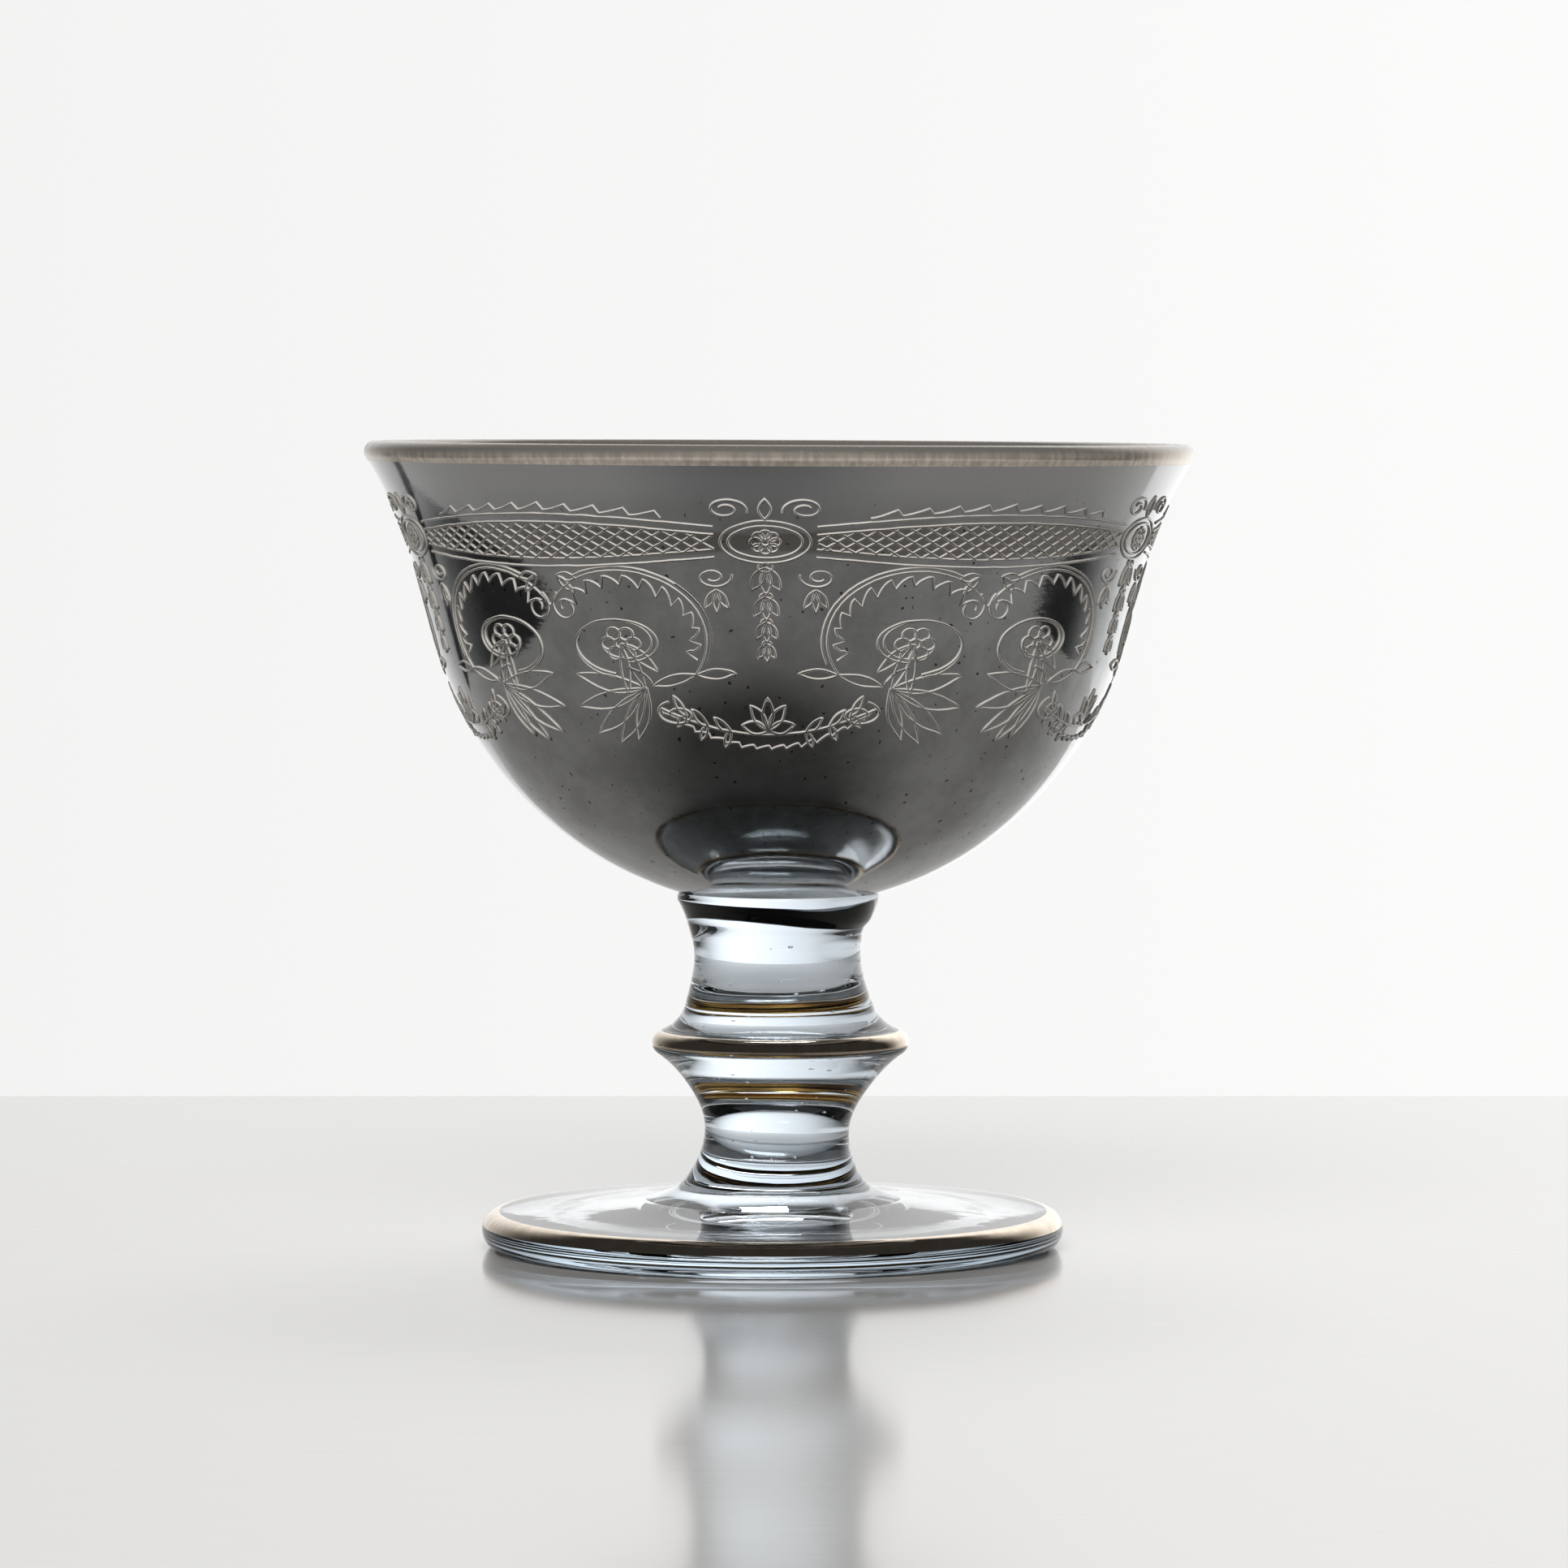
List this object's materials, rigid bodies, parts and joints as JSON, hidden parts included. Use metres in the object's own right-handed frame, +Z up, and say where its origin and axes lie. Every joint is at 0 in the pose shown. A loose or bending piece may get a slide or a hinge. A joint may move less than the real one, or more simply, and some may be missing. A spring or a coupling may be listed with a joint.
{
  "type": "footed glass bowl",
  "caption": "Open footed bowl of clear glass with a knopped stem, a mirror coat over the outside of the cup and metal bands on lip, knop and foot.",
  "frame": {"origin": "centre of the foot's resting ring, on the bowl's axis", "axes": "+Z up along the axis, from the foot to the lip; the part is round about Z, and the ornament's middle medallion faces -Y"},
  "size_m": [0.12, 0.12, 0.1169],
  "materials": {
    "clear_glass": "clear fire-polished glass with a faint cool tint",
    "mirror_coat": "fired platinum lustre, dark mirror gloss with raised ornament lines",
    "band_metal": "fired platinum band, warm champagne gloss with fine brush streaks"
  },
  "bodies": {
    "root": {"foot_disc": "clear_glass", "foot_band": "band_metal", "foot_button": "clear_glass", "lower_stem": "clear_glass", "knop": "clear_glass", "knop_band": "band_metal", "upper_stem": "clear_glass", "bowl_collar": "clear_glass", "bowl_wall": "clear_glass", "bowl_coat": "mirror_coat", "lip_band": "band_metal"}
  },
  "joints": []
}
